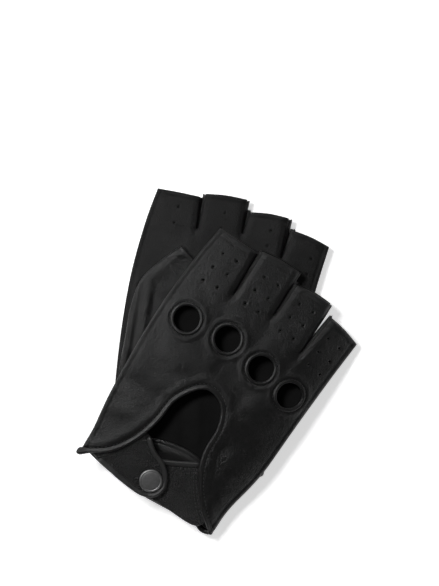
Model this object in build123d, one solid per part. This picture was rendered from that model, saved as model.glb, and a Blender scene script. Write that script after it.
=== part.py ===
from build123d import *

import math
import os

# A pair of fingerless leather driving gloves, laid flat. The left glove lies palm up and the right
# glove lies back up across it. Millimetres, +Z up, origin at the middle of the pair's underside.
#
# Both gloves are drawn in one hand frame: x towards the little finger, y towards the fingertips and
# z out of the back of the hand. The left glove is the same glove mirrored in z.

# Driving dimensions
LEATHER = 1.0            # thickness of the back and palm leather
RIM = 1.15               # half thickness of the hand where back and palm are sewn together
SEAM = 2.4               # width of the seam between back and palm along each side
SEWN_GAP = 0.02          # play between a leather panel and what is sewn flat against its inner face
BACK_RISE = 5.0          # height of the back above the sewn rim's middle
EDGE_SHARPNESS = 3       # how suddenly the hand thins towards its edges
MARGIN = 1.08            # the leather surfaces are drawn a little wider than the hand
CUT = 60.0               # reach of the cutting prisms, each way

# Hand sections: y, thumb-side edge, little-finger-side edge, depth of the palm
SECTIONS = [
    (-82, -44.5, 54.0, 7.0),
    (-56, -45.5, 53.0, 6.8),
    (-33, -50.0, 56.5, 5.5),
    (0, -54.0, 57.0, 5.0),
    (35, -56.0, 57.0, 5.0),
    (70, -55.0, 58.0, 3.8),
    (108, -52.0, 59.5, 3.8),
]
SECTION_SAMPLES = [-1.0, -0.8, -0.5, -0.25, 0.0, 0.25, 0.5, 0.8, 1.0]

# Plan of the hand
THUMB_SIDE = [(-44.5, -66.5), (-45.5, -56), (-50, -33), (-54.5, 5), (-56, 40), (-54.6, 75), (-52.7, 90.2)]
LITTLE_SIDE = [(59.2, 81.1), (57.7, 55), (57, 20), (57, -20), (53.2, -50), (53.8, -66.4)]
FINGER_TIPS = [(-25.2, 92.0), (-25.0, 94.7), (3.6, 97.4), (4.6, 90.2), (32.2, 92.4), (33.5, 86.0)]
WRIST_HEM = [(53.8, -66.4), (30, -68.6), (0, -71.4), (-25, -70.2), (-44.5, -66.5)]
FINGERS = ["index", "middle", "ring", "little"]

# Slits between the fingers: bottom centre, top centre, width at the bottom, width at the top
SLITS = [
    ((-23.6, 63.4), (-25.1, 93.5), 1.4, 3.0),
    ((4.7, 67.5), (4.0, 96.5), 1.4, 3.4),
    ((32.0, 58.0), (33.2, 89.0), 1.6, 5.4),
]
FOURCHETTE = 1.0         # thickness of the strip that lines each slit

# Knuckle holes and vents
KNUCKLES = [(-39.1, 34.9), (-11.0, 39.3), (16.8, 36.3), (41.4, 32.6)]
KNUCKLE_R = 8.2
KNUCKLE_BINDING = 2.0
BINDING_SEAT = 0.8       # distance from a binding's edge to the edge of the leather inside it
VENT_R = 0.6
BACK_VENTS = [(-39.0, 70.5, 2), (-9.3, 73.4, 1), (18.4, 72.5, 1), (45.6, 64.2, -2)]
VENT_COLUMN_GAP = 9.8
VENT_ROW_GAP = 10.0
PALM_VENTS = [(-38.5, 77.8), (-9.0, 81.2), (21.6, 77.5), (50.3, 66.4)]

# Wrist opening in the back, from the thumb-side lobe round to the little-finger-side lobe
KEYHOLE = [
    (-45.0, -71.8), (-30.3, -59.9), (-22.0, -46.0), (-17.2, -28.0), (-15.2, -8.0), (-4.0, 7.2),
    (9.0, 4.6), (16.4, -8.0), (18.6, -26.0), (25.5, -41.5), (38.0, -56.0), (52.5, -66.6),
]
KEYHOLE_BINDING = 2.2
BINDING_PROUD = 0.6      # height of a binding above the leather
BINDING_BACK = 0.6       # depth of a binding behind the leather
WRIST_BINDING = 2.2
FACING = 0.8
FACING_TOP = [(-41, -52), (-14, -39.5), (4, -33.5), (20, -32.5), (50, -46)]

# Closing strap and the tab that it snaps to, as heights above the sewn rim's middle
STRAP_BOTTOM = 1.9
LINING = 0.7
STRAP_LEATHER = 1.0
STRAP_TOP = STRAP_BOTTOM + LINING + STRAP_LEATHER
STRAP_EDGE = [
    (-14.5, -37.8), (-6.8, -43.4), (2.2, -46.8), (8.8, -52.6), (12.0, -60.2),
    (9.6, -67.4), (3.0, -71.0), (-12.0, -71.2), (-32.0, -68.9),
]
STRAP_ROOT = [(-41.5, -65.5), (-39.0, -56.0), (-27.0, -35.0)]
FLEX_TOP = (-13.5, -40.0)
FLEX_BOTTOM = (-30.0, -70.0)
FLEX_GAP_MOVING = 0.2
FLEX_GAP_FIXED = 1.2
STITCH_INSET = 1.9
STITCH_COUNT = 34
STITCH_SIZE = (2.1, 0.5, 0.4)
STITCH_CLEARANCE = 2.6
TAB_BOTTOM = -0.6
TAB_TOP = 0.4
TAB_OUTLINE = [
    (-9.0, -71.1), (-10.0, -51.5), (2.7, -46.0), (21.5, -34.8), (29.0, -33.5), (42.0, -45.0),
    (45.0, -58.0), (43.0, -67.0), (20.0, -69.4),
]
TAB_SEWN_END = [(31.5, -33.0), (33.5, -47.0), (43.0, -58.0), (47.0, -70.0), (60.0, -60.0), (50.0, -33.0)]
PIPING = 1.6
PIPING_TOP = 1.0

# Press fastener
SNAP_CENTRE = (2.0, -60.2)
CAP_R = 7.3
CAP_TOP = 5.6
CAP_TUBE_R = 2.1
CAP_TUBE_END = 2.05
STRAP_HOLE_R = 2.3
SOCKET_R = 5.6
SOCKET_BORE_R = 2.8
SOCKET_BOTTOM = 1.1
STUD_FLANGE_R = 5.0
STUD_FLANGE_TOP = 0.8
STUD_KNOB_R = 2.4
STUD_KNOB_TOP = 1.75
STUD_BORE_R = 1.5
POST_FLANGE_R = 4.5
POST_FLANGE = 0.4
POST_TUBE_R = 1.4
TAB_HOLE_R = 1.6

# Thumb: a flat tube that swings in the plane of the palm about the middle of its sewn root
THUMB_PIVOT = (-36.0, -3.0)
THUMB_ROOT_R = 15.0
THUMB_EDGE = [(-51.0, -3.0), (-52.2, 15.0), (-50.0, 33.0), (-41.0, 47.5), (-30.5, 60.0)]
THUMB_TIP = (-4.0, 40.5)
THUMB_INNER_EDGE = [(-16.0, 22.0), (-21.0, -3.0)]
THUMB_DEPTH = 4.6
THUMB_WALL = 0.9
THUMB_CLEARANCE = 0.3
GUSSET_R = 13.0
GUSSET_WALL = 1.0
GUSSET_INTO_THUMB = 1.4
THUMB_MIDDLE_Y = 21.0

# Where the gloves lie
LEFT_PLACE = (-8.9, 8.1)
LEFT_TURN = -14.0
RIGHT_PLACE = (-9.4, -23.1, 26.2)
RIGHT_TURN = -35.5
RIGHT_ROLL = 6.7
RIGHT_PITCH = 6.8
LEVEL_FROM_Y = -33.0     # past this the right glove droops towards its fingertips
DROOP_Y = 0.00135
EDGE_FROM_X = 22.0       # past this it droops towards its little-finger side
DROOP_X = 0.0046


def right_sag(x, y):
    """Height of the right glove's middle surface where it drapes over the left glove."""
    along = max(0.0, y - LEVEL_FROM_Y)
    across = max(0.0, x - EDGE_FROM_X)
    return -DROOP_Y * along ** 2 - DROOP_X * across ** 2


def left_sag(x, y):
    """The left glove lies flat."""
    return 0.0


def crown(s):
    """1 in the middle of the hand, falling to 0 at its edges."""
    return 1 - min(1.0, abs(s)) ** EDGE_SHARPNESS


def back_surface(offset):
    """Outer face of the back leather, moved outwards by offset."""
    return lambda s, depth: RIM + (BACK_RISE - RIM) * crown(s) + offset


def palm_surface(offset):
    """Outer face of the palm leather, moved towards the back by offset."""
    return lambda s, depth: -RIM - (depth - RIM) * crown(s) + offset


def level(height):
    """A surface at one height above the sewn rim's middle."""
    return lambda s, depth: height


def layer(sag, low, high):
    """The solid between two surfaces, wider and longer than the hand."""
    faces = []
    for y, left, right, depth in SECTIONS:
        lower = []
        upper = []
        for sample in SECTION_SAMPLES:
            x = (left + right) / 2 + MARGIN * sample * (right - left) / 2
            s = MARGIN * sample
            lower.append((x, y, sag(x, y) + low(s, depth)))
            upper.append((x, y, sag(x, y) + high(s, depth)))
        sides = [Line(lower[-1], upper[-1]), Line(upper[0], lower[0])]
        wire = Wire([Spline(*lower), sides[0], Spline(*reversed(upper)), sides[1]])
        faces.append(Face(wire))
    return Solid.make_loft([face.outer_wire() for face in faces])


def prism(face):
    """A tall prism through the whole hand."""
    return extrude(face, amount=CUT, both=True)


def polygon(points):
    return make_face(Polyline(*points, close=True))


def disc(centre, radius):
    return make_face(Edge.make_circle(radius, Plane(origin=(centre[0], centre[1], 0))))


def rod(centre, radius, bottom, top):
    return Pos(centre[0], centre[1], bottom) * Solid.make_cylinder(radius, top - bottom)


def hand_face():
    """Plan of the whole glove without its thumb."""
    tips = [THUMB_SIDE[-1]] + FINGER_TIPS + [LITTLE_SIDE[0]]
    edges = [Spline(*THUMB_SIDE), Polyline(*tips), Spline(*LITTLE_SIDE), Spline(*WRIST_HEM)]
    return make_face(edges)


def slit_points(slit, grow, overrun):
    """Corners of one slit, grown sideways and run past its open end."""
    (x0, y0), (x1, y1), bottom_width, top_width = slit
    half_bottom = bottom_width / 2 + grow
    half_top = top_width / 2 + grow
    lean = (x1 - x0) / (y1 - y0)
    top = y1 + overrun
    return [
        (x0 - half_bottom, y0 - grow), (x0 + half_bottom, y0 - grow),
        (x1 + half_top + lean * overrun, top), (x1 - half_top + lean * overrun, top),
    ]


def keyhole_edge(grow):
    """Points round the edge of the wrist opening, moved away from the opening by grow."""
    moved = []
    for index, point in enumerate(KEYHOLE):
        before = Vector(*KEYHOLE[max(0, index - 1)])
        after = Vector(*KEYHOLE[min(len(KEYHOLE) - 1, index + 1)])
        direction = (after - before).normalized()
        moved.append(Vector(*point) + Vector(-direction.Y, direction.X) * grow)
    return moved


def keyhole_face(grow):
    """The wrist opening in the back, run out past the wrist."""
    edge = keyhole_edge(grow)
    rest = [edge[-1], (75.0, -78.0), (75.0, -95.0), (-65.0, -95.0), (-65.0, -78.0), edge[0]]
    return make_face([Spline(*edge), Polyline(*rest)])


def vent_centres():
    """Six vents on the back of each finger, in two columns of three."""
    centres = []
    for x, y, lean in BACK_VENTS:
        for column in (-0.5, 0.5):
            for row in (-1, 0, 1):
                shift = lean * column * 0.6
                centres.append((x + column * VENT_COLUMN_GAP + row * 0.4, y + row * VENT_ROW_GAP + shift))
    return centres


def back_panel(shell, hand, slits):
    """Back leather, with its knuckle holes, wrist opening and vents."""
    panel = shell & prism(hand)
    panel -= prism(keyhole_face(BINDING_SEAT))
    panel -= [prism(polygon(slit)) for slit in slits]
    panel -= [prism(disc(centre, KNUCKLE_R + BINDING_SEAT)) for centre in KNUCKLES]
    panel -= [prism(disc(centre, VENT_R)) for centre in vent_centres()]
    return panel


def palm_panel(shell, hand, slits, thumb_hole):
    """Palm leather, with its thumb hole and vents."""
    panel = shell & prism(hand)
    panel -= [prism(polygon(slit)) for slit in slits]
    panel -= thumb_hole
    panel -= prism(hem_face(-6, BINDING_SEAT))
    for x, y in PALM_VENTS:
        panel -= prism(disc((x, y + VENT_ROW_GAP / 2), VENT_R))
        panel -= prism(disc((x, y - VENT_ROW_GAP / 2), VENT_R))
    return panel


def fourchette(slit, cavity, hand):
    """The U-shaped strip that lines one slit, from the back to the palm."""
    outer = prism(polygon(slit_points(slit, FOURCHETTE, 12)))
    inner = prism(polygon(slit_points(slit, 0, 14)))
    return (outer - inner) & cavity & prism(hand)


def knuckle_binding(centre, band, panel):
    """Rolled leather rim, folded round the edge of one knuckle hole."""
    ring = prism(disc(centre, KNUCKLE_R + KNUCKLE_BINDING)) - prism(disc(centre, KNUCKLE_R))
    return (ring & band) - panel


def keyhole_binding(band, panel, hand):
    """Piping folded round the wrist opening and both lobes."""
    strip = prism(keyhole_face(KEYHOLE_BINDING)) - prism(keyhole_face(0))
    return (strip & band & prism(hand)) - panel


def hem_face(low, high):
    """A strip that follows the wrist hem."""
    near = [(x, y + low) for x, y in WRIST_HEM]
    far = [(x, y + high) for x, y in WRIST_HEM]
    sides = [Line(near[-1], far[-1]), Line(far[0], near[0])]
    return make_face([Spline(*near), sides[0], Spline(*reversed(far)), sides[1]])


def side_seam(points, inward, cavity, hand):
    """The turned-in seam allowance that joins back and palm along one side."""
    inner = [(x + inward, y) for x, y in points]
    ends = [Line(points[-1], inner[-1]), Line(inner[0], points[0])]
    strip = make_face([Spline(*points), ends[0], Spline(*reversed(inner)), ends[1]])
    return cavity & prism(strip) & prism(hand)


def facing_face():
    """Inner facing between the hem binding and the hand's hollow."""
    bottom = [(x, y + WRIST_BINDING + SEWN_GAP) for x, y in WRIST_HEM]
    sides = [Line(bottom[-1], FACING_TOP[0]), Line(FACING_TOP[-1], bottom[0])]
    return make_face([Spline(*bottom), sides[0], Spline(*FACING_TOP), sides[1]])


def strap_face():
    """Plan of the whole strap, from its sewn root to its rounded end."""
    root = [STRAP_EDGE[-1]] + STRAP_ROOT + [STRAP_EDGE[0]]
    return make_face([Spline(*STRAP_EDGE), Polyline(*root)])


def flex_normal():
    """Direction across the strap's flex line, towards its free end."""
    direction = Vector(*FLEX_BOTTOM) - Vector(*FLEX_TOP)
    direction = direction.normalized()
    return Vector(-direction.Y, direction.X)


def flex_side(gap, towards):
    """Half plane on one side of the strap's flex line."""
    direction = Vector(*FLEX_BOTTOM) - Vector(*FLEX_TOP)
    direction = direction.normalized()
    normal = flex_normal() * towards
    start = Vector(*FLEX_TOP) - direction * 40 + normal * gap
    end = Vector(*FLEX_BOTTOM) + direction * 40 + normal * gap
    far = normal * 90
    corners = [start, end, end + far, start + far]
    return polygon([(corner.X, corner.Y) for corner in corners])


def flat_plate(face, bottom, top):
    return Pos(0, 0, bottom) * extrude(face, amount=top - bottom)


def strap_stitching():
    """Topstitches round the strap's free edge, clear of the flex line."""
    edge = Spline(*STRAP_EDGE)
    stitches = []
    for index in range(STITCH_COUNT):
        where = (index + 1.2) / (STITCH_COUNT + 4)
        point = edge.position_at(where)
        tangent = edge.tangent_at(where)
        inward = Vector(tangent.Y, -tangent.X)
        centre = point + inward * STITCH_INSET
        if (centre - Vector(*FLEX_TOP)).dot(flex_normal()) < STITCH_CLEARANCE:
            continue
        turn = math.degrees(math.atan2(tangent.Y, tangent.X))
        length, width, height = STITCH_SIZE
        place = Pos(centre.X, centre.Y, STRAP_TOP + height / 2) * Rot(0, 0, turn)
        stitches.append(place * Box(length, width, height))
    return Compound(children=stitches)


def under_tab(sag, hand):
    """Tab below the strap's end, folded double where it is sewn under its lobe."""
    outline = polygon(TAB_OUTLINE)
    plate = layer(sag, level(TAB_BOTTOM), level(TAB_TOP)) & prism(outline)
    sewn_layer = layer(sag, level(TAB_BOTTOM), back_surface(-LEATHER - SEWN_GAP))
    tab = (plate + (sewn_layer & prism(outline & polygon(TAB_SEWN_END)))) & prism(hand)
    tab -= rod(SNAP_CENTRE, TAB_HOLE_R, -5, 5)
    tab -= rod(SNAP_CENTRE, POST_FLANGE_R + 0.5, TAB_BOTTOM - 2, TAB_BOTTOM)
    return tab - rod(SNAP_CENTRE, STUD_FLANGE_R + 0.5, TAB_TOP, TAB_TOP + 2)


def tab_piping(sag):
    """Piped top edge of the tab."""
    top_edge = TAB_OUTLINE[1:4]
    band = [(x, y) for x, y in top_edge] + [(x + 0.4, y - PIPING) for x, y in reversed(top_edge)]
    return layer(sag, level(TAB_TOP), level(PIPING_TOP)) & prism(polygon(band))


def snap_cap():
    """Flat round cap with a turned-down edge, and the tube that grips the strap."""
    button = rod(SNAP_CENTRE, CAP_R, STRAP_TOP, CAP_TOP)
    button = chamfer(button.edges().group_by(Axis.Z)[-1], 0.5)
    return button + rod(SNAP_CENTRE, CAP_TUBE_R, CAP_TUBE_END, STRAP_TOP + 0.2)


def snap_socket():
    ring = rod(SNAP_CENTRE, SOCKET_R, SOCKET_BOTTOM, STRAP_BOTTOM)
    return ring - rod(SNAP_CENTRE, SOCKET_BORE_R, SOCKET_BOTTOM - 1, STRAP_BOTTOM + 1)


def snap_stud():
    flange = rod(SNAP_CENTRE, STUD_FLANGE_R, TAB_TOP, STUD_FLANGE_TOP)
    knob = rod(SNAP_CENTRE, STUD_KNOB_R, TAB_TOP, STUD_KNOB_TOP)
    knob = fillet(knob.edges().group_by(Axis.Z)[-1], 0.3)
    return flange + knob - rod(SNAP_CENTRE, STUD_BORE_R, TAB_TOP - 1, STUD_FLANGE_TOP)


def snap_post():
    flange = rod(SNAP_CENTRE, POST_FLANGE_R, TAB_BOTTOM - POST_FLANGE, TAB_BOTTOM)
    return flange + rod(SNAP_CENTRE, POST_TUBE_R, TAB_BOTTOM - POST_FLANGE, STUD_FLANGE_TOP)


def thumb_frame(sag, depth):
    """Where the thumb lies: just under the palm, along its slope. Its own top face is z = 0."""
    step = 1.0
    x = THUMB_PIVOT[0]
    rise = sag(x, THUMB_MIDDLE_Y + step) - sag(x, THUMB_MIDDLE_Y - step)
    slope = rise / (2 * step)
    droop = sag(x, THUMB_MIDDLE_Y)
    reach = 39.0
    below = min(0.0, sag(x, THUMB_MIDDLE_Y + reach) - droop - slope * reach)
    height = droop - depth - THUMB_CLEARANCE + below
    tilt = Rot(math.degrees(math.atan(slope)), 0, 0)
    return Pos(0, THUMB_MIDDLE_Y, height) * tilt * Pos(0, -THUMB_MIDDLE_Y, 0)


def thumb_face(inset, overrun):
    """Plan of the thumb: a round root and a straight tip, drawn in by inset and run out by overrun."""
    px, py = THUMB_PIVOT
    along = (Vector(*THUMB_TIP) - Vector(*THUMB_EDGE[-1])).normalized()
    outward = Vector(-along.Y, along.X)
    outer = [Vector(x + inset, y) for x, y in THUMB_EDGE[:-1]]
    outer.append(Vector(*THUMB_EDGE[-1]) + along * inset + outward * overrun)
    inner = [Vector(*THUMB_TIP) - along * inset + outward * overrun]
    inner += [Vector(x - inset, y) for x, y in THUMB_INNER_EDGE]
    root = ThreePointArc(inner[-1], (px, py - THUMB_ROOT_R + inset), outer[0])
    return make_face([Spline(*outer), Line(outer[-1], inner[0]), Spline(*inner), root])


def thumb_stub():
    """Flat open-ended tube, with a round hole over its root in the face next to the palm."""
    shell = Pos(0, 0, -THUMB_DEPTH) * extrude(thumb_face(0, 0), amount=THUMB_DEPTH)
    hollow_depth = THUMB_DEPTH - 2 * THUMB_WALL
    hollow_face = thumb_face(THUMB_WALL, 5)
    hollow = Pos(0, 0, -THUMB_DEPTH + THUMB_WALL) * extrude(hollow_face, amount=hollow_depth)
    return shell - hollow - rod(THUMB_PIVOT, GUSSET_R + THUMB_CLEARANCE, -THUMB_WALL - 0.5, 1)


def thumb_gusset(sag, frame):
    """Round leather collar, sewn round the thumb hole, that the thumb turns on."""
    collar = rod(THUMB_PIVOT, GUSSET_R, -GUSSET_INTO_THUMB, 12)
    collar -= rod(THUMB_PIVOT, GUSSET_R - GUSSET_WALL, -20, 20)
    return (frame * collar) & layer(sag, level(-CUT / 2), palm_surface(-SEWN_GAP))


def make_glove(sag):
    """Every piece of one glove in the hand frame, by name."""
    hand = hand_face()
    slits = [slit_points(slit, 0, 14) for slit in SLITS]
    cavity = layer(sag, palm_surface(LEATHER + SEWN_GAP), back_surface(-LEATHER - SEWN_GAP))
    band = layer(sag, back_surface(-LEATHER - BINDING_BACK), back_surface(BINDING_PROUD))
    frame = thumb_frame(sag, 5.0)
    pieces = {}
    back = back_panel(layer(sag, back_surface(-LEATHER), back_surface(0)), hand, slits)
    pieces["back_panel"] = back
    thumb_hole = frame * rod(THUMB_PIVOT, GUSSET_R - GUSSET_WALL, -10, 25)
    palm_shell = layer(sag, palm_surface(0), palm_surface(LEATHER))
    pieces["palm_panel"] = palm_panel(palm_shell, hand, slits, thumb_hole)
    for name, slit in zip(FINGERS, SLITS):
        pieces["fourchette_" + name] = fourchette(slit, cavity, hand)
    for name, centre in zip(FINGERS, KNUCKLES):
        pieces["knuckle_binding_" + name] = knuckle_binding(centre, band, back)
    pieces["keyhole_binding"] = keyhole_binding(band, back, hand)
    pieces["side_seam_thumb"] = side_seam(THUMB_SIDE[1:], SEAM, cavity, hand)
    pieces["side_seam_little"] = side_seam(LITTLE_SIDE[:-1], -SEAM, cavity, hand)
    hem_band = layer(sag, palm_surface(-BINDING_BACK), palm_surface(LEATHER + BINDING_BACK))
    hem = prism(hem_face(0, WRIST_BINDING)) & hem_band & prism(hand)
    pieces["wrist_binding"] = hem - pieces["palm_panel"] - pieces["keyhole_binding"]
    facing_layer = layer(sag, palm_surface(LEATHER + SEWN_GAP), palm_surface(LEATHER + FACING))
    pieces["wrist_facing"] = facing_layer & prism(facing_face()) & cavity & prism(hand)
    add_strap(pieces, sag, hand)
    pieces["under_tab"] = under_tab(sag, hand) - pieces["keyhole_binding"]
    pieces["tab_piping"] = tab_piping(sag)
    pieces["snap_stud"] = snap_stud()
    pieces["snap_post"] = snap_post()
    pieces["thumb_gusset"] = thumb_gusset(sag, frame)
    pieces["thumb_stub"] = frame * thumb_stub()
    return pieces


def add_strap(pieces, sag, hand):
    """The strap's sewn root, and everything that swings with the strap."""
    whole = strap_face()
    moving = whole & flex_side(FLEX_GAP_MOVING, 1)
    fixed = whole & flex_side(FLEX_GAP_FIXED, -1)
    under_lobe = layer(sag, level(-CUT / 2), back_surface(-LEATHER - SEWN_GAP))
    root = flat_plate(fixed, STRAP_BOTTOM, STRAP_TOP) & under_lobe & prism(hand)
    pieces["strap_anchor"] = root - pieces["keyhole_binding"]
    hole = rod(SNAP_CENTRE, STRAP_HOLE_R, STRAP_BOTTOM - 1, STRAP_TOP + 1)
    lining_top = STRAP_BOTTOM + LINING
    pieces["strap"] = flat_plate(moving, lining_top, STRAP_TOP) - hole
    pieces["strap_lining"] = flat_plate(moving, STRAP_BOTTOM, lining_top) - hole
    pieces["strap_stitching"] = strap_stitching()
    pieces["snap_cap"] = snap_cap()
    pieces["snap_socket"] = snap_socket()


def place_gloves():
    """Both gloves where they lie, by node name."""
    turn = Rot(0, 0, RIGHT_TURN) * Rot(0, RIGHT_ROLL, 0) * Rot(RIGHT_PITCH, 0, 0)
    right_place = Pos(*RIGHT_PLACE) * turn
    left_place = Pos(LEFT_PLACE[0], LEFT_PLACE[1], CAP_TOP) * Rot(0, 0, LEFT_TURN)
    nodes = {}
    for name, piece in make_glove(left_sag).items():
        nodes["left_" + name] = left_place * mirror(piece, about=Plane.XY)
    for name, piece in make_glove(right_sag).items():
        nodes["right_" + name] = right_place * piece
    return nodes


def centre_pair(nodes):
    """Move the pair so that the origin is at the middle of its underside."""
    boxes = [piece.bounding_box() for piece in nodes.values()]
    middle_x = (min(box.min.X for box in boxes) + max(box.max.X for box in boxes)) / 2
    middle_y = (min(box.min.Y for box in boxes) + max(box.max.Y for box in boxes)) / 2
    floor = min(box.min.Z for box in boxes)
    print("moved by", -middle_x, -middle_y, -floor)
    shift = Pos(-middle_x, -middle_y, -floor)
    return {name: shift * piece for name, piece in nodes.items()}


def main():
    for name, piece in centre_pair(place_gloves()).items():
        export_step(piece, f"parts/{name}.step")


os.makedirs("parts", exist_ok=True)
main()
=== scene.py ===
import math

import bmesh
import bpy
import numpy as np
from mathutils import Matrix, Vector, geometry, noise


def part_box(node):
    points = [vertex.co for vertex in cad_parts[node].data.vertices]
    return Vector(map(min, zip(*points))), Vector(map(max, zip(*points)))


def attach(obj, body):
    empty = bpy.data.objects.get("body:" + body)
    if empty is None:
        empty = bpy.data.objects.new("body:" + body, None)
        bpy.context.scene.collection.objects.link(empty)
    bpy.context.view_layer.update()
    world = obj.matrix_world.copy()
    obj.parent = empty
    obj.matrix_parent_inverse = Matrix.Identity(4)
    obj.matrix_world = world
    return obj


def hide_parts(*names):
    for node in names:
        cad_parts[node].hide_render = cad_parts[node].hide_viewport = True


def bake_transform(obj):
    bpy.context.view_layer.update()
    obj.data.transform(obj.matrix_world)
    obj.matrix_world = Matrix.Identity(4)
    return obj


# A pair of black fingerless leather driving gloves. Both gloves are drawn in one hand frame in
# millimetres: x towards the little finger, y towards the fingertips, z out of the back of the hand.
# The left glove is the same glove mirrored in z, and it lies palm up under the right one.

MM = 0.001
LEATHER = 0.95           # thickness of the hide
RIM = 1.15               # height of the outer faces at the sewn sides
BACK_RISE = 5.0          # and of the back over the middle of the hand
GRID = 1.1     # spacing of the leather meshes
EDGE_STEP = 1.0          # spacing of the points along their edges

# y, thumb-side edge, little-finger-side edge, depth of the palm
SECTIONS = np.array([
    (-82, -44.5, 54.0, 7.0), (-56, -45.5, 53.0, 6.8), (-33, -50.0, 56.5, 5.5), (0, -54.0, 57.0, 5.0),
    (35, -56.0, 57.0, 5.0), (70, -55.0, 58.0, 3.8), (108, -52.0, 59.5, 3.8),
])
THUMB_SIDE = [(-44.5, -66.5), (-45.5, -56), (-50, -33), (-54.8, 5), (-56.8, 38), (-55.6, 72), (-53.4, 90.8)]
LITTLE_SIDE = [(59.2, 81.1), (57.7, 55), (57, 20), (57, -20), (53.2, -50), (53.8, -66.4)]
TIPS = [[(-53.4, 90.8), (-40, 91.6), (-26.6, 92.0)], [(-23.5, 94.7), (-11, 96.8), (2.4, 97.4)],
        [(5.8, 90.2), (18, 92.2), (30.4, 92.4)], [(35.9, 85.6), (47, 84.2), (59.2, 81.1)]]
SLIT_ENDS = [(-23.6, 63.4), (4.7, 67.5), (32.0, 58.0)]
SLIT_HALF = 0.7
WRIST_HEM = [(53.8, -66.8), (47.8, -68.6), (41.5, -66.8), (30, -68.2), (0, -71.4), (-25, -70.2),
             (-44.5, -66.5)]
KEYHOLE = [
    (-45.0, -71.8), (-30.3, -59.9), (-22.0, -46.0), (-17.2, -28.0), (-15.2, -8.0), (-4.0, 7.2),
    (9.0, 4.6), (16.4, -8.0), (18.6, -26.0), (25.5, -41.5), (38.0, -56.0), (52.5, -66.6),
]
FINGERS = ["index", "middle", "ring", "little"]
KNUCKLES = [(-39.1, 34.9), (-11.0, 39.3), (16.8, 36.3), (41.4, 32.6)]
KNUCKLE_R = 8.2
VENT_R = 0.75
PALM_VENT_R = 0.55
BACK_VENTS = [(-39.0, 70.5, 2), (-9.3, 73.4, 1), (18.4, 72.5, 1), (45.6, 64.2, -2)]     # x, y, lean
VENT_COLUMN, VENT_ROW = 9.8, 10.0
PALM_VENTS = [(-38.5, 77.8), (-9.0, 81.2), (21.6, 77.5), (50.3, 66.4)]
SNAP = (2.0, -60.2)
SOCKET_MIDDLE = (2.0, -60.2, 1.5)
STRAP_EDGE = [
    (-14.5, -37.8), (-6.8, -43.4), (2.2, -46.8), (8.8, -52.6), (12.0, -60.2),
    (9.6, -67.4), (3.0, -71.0), (-12.0, -71.2), (-32.0, -68.9),
]
STRAP_ROOT = [(-41.5, -65.5), (-39.0, -56.0), (-27.0, -35.0)]
STRAP_BEND = [(-27.6, -52.2), (-15.9, -57.8)]      # ends of the strap's flex line, at this height
BEND_HEIGHT = 2.75
STRAP_BOTTOM, LINING_TOP, STRAP_TOP = 1.9, 2.6, 3.6
TAB_TOP = 0.4
TAB_EDGE = [(-9.0, -71.1), (-10.0, -51.5), (2.7, -46.0), (21.5, -34.8), (29.0, -33.5)]
TAB_REST = [(42.0, -45.0), (45.0, -58.0), (43.0, -67.0), (20.0, -69.4)]
FACING_TOP = [(-41, -52), (-14, -39.5), (4, -33.5), (20, -32.5), (50, -46)]
THUMB_EDGE = [(-51.0, -3.0), (-52.2, 15.0), (-50.0, 33.0), (-41.0, 47.5), (-30.5, 60.0)]
THUMB_TIP = [(-30.5, 60.0), (-17, 51.5), (-4.0, 40.5)]
THUMB_INNER = [(-42.5, -43), (-36.5, -24), (-23.5, -6), (-17.5, 14), (-11.0, 29), (-4.0, 40.5)]
THUMB_HOLE, THUMB_HOLE_R = (-36.0, -3.0), 10.5
THUMB_BEND = [(-39.5, -16.0), (-36.5, 13.0)]       # ends of the thumb's hinge line
THUMB_DEPTH = 4.6
THUMB_ROWS, THUMB_AROUND = 96, 60
PALM_SLIT_RISE = 9.0
SLIT_SHUT = {"left": (1.0, 1.0, 0.9), "right": (1.0, 1.0, 0.55)}   # how far the folds close each gap
SLIT_LEAN = [-0.05, -0.024, 0.04]

# Soft folds of the leather: from, to, width, height
BACK_FOLDS = [
    ((-49, -18), (-22, -14), 6, -1.0), ((-44, -36), (-26, -30), 6, 0.5), ((-45, -30), (-42, -56), 4, -0.5),
    ((-24, -34), (-33, -53), 4.5, 0.9), ((26, -20), (35, -50), 7, -0.8), ((39, -26), (47, -56), 8, 0.5),
    ((48, 4), (26, -18), 9, -0.9), ((-34, 10), (-14, 20), 9, 1.0), ((-52, 20), (-34, -2), 7, -0.7),
    ((-2, 24), (16, 18), 7, -0.7), ((30, 16), (48, -16), 10, 0.3), ((-25, 58), (-20, 47), 6, -0.6),
    ((4, 60), (6, 50), 6, -0.6), ((30, 54), (28, 46), 6, -0.6),
]
PALM_FOLDS = [
    ((-50, 60), (-30, 66), 5, -0.6), ((-20, 64), (10, 58), 6, -0.5), ((-14, -6), (4, -28), 3.5, 0.9),
    ((-2, -4), (12, -24), 3.0, -0.9), ((-53, 30), (-47, -25), 1.6, 0.7), ((-50, 34), (-43, -20), 1.5, -0.6),
]
THUMB_FOLDS = [
    ((-48, 30), (-44, -24), 1.6, -0.8), ((-43.5, 32), (-39, -20), 2.0, 0.7), ((-39, 26), (-36, -20), 1.7, -0.6),
    ((-34, 30), (-20, 40), 3.0, 0.5), ((-33, 55), (-22, 53), 1.2, 0.6), ((-36, 50), (-24, 47), 1.4, -0.5),
]

# The right glove droops over the left one past these lines
LEVEL_FROM_Y, DROOP_Y = -33.0, 0.00135
EDGE_FROM_X, DROOP_X = 22.0, 0.0046
TURNS = {"right": (-35.5, 6.7, 6.8), "left": (-14.0, 0.0, 0.0)}


# ---------------------------------------------------------------- the hand frame

def rotation(side):
    turn, roll, pitch = (math.radians(a) for a in TURNS[side])
    return Matrix.Rotation(turn, 3, "Z") @ Matrix.Rotation(roll, 3, "Y") @ Matrix.Rotation(pitch, 3, "X")


def flip(side):
    return 1.0 if side == "right" else -1.0


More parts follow.
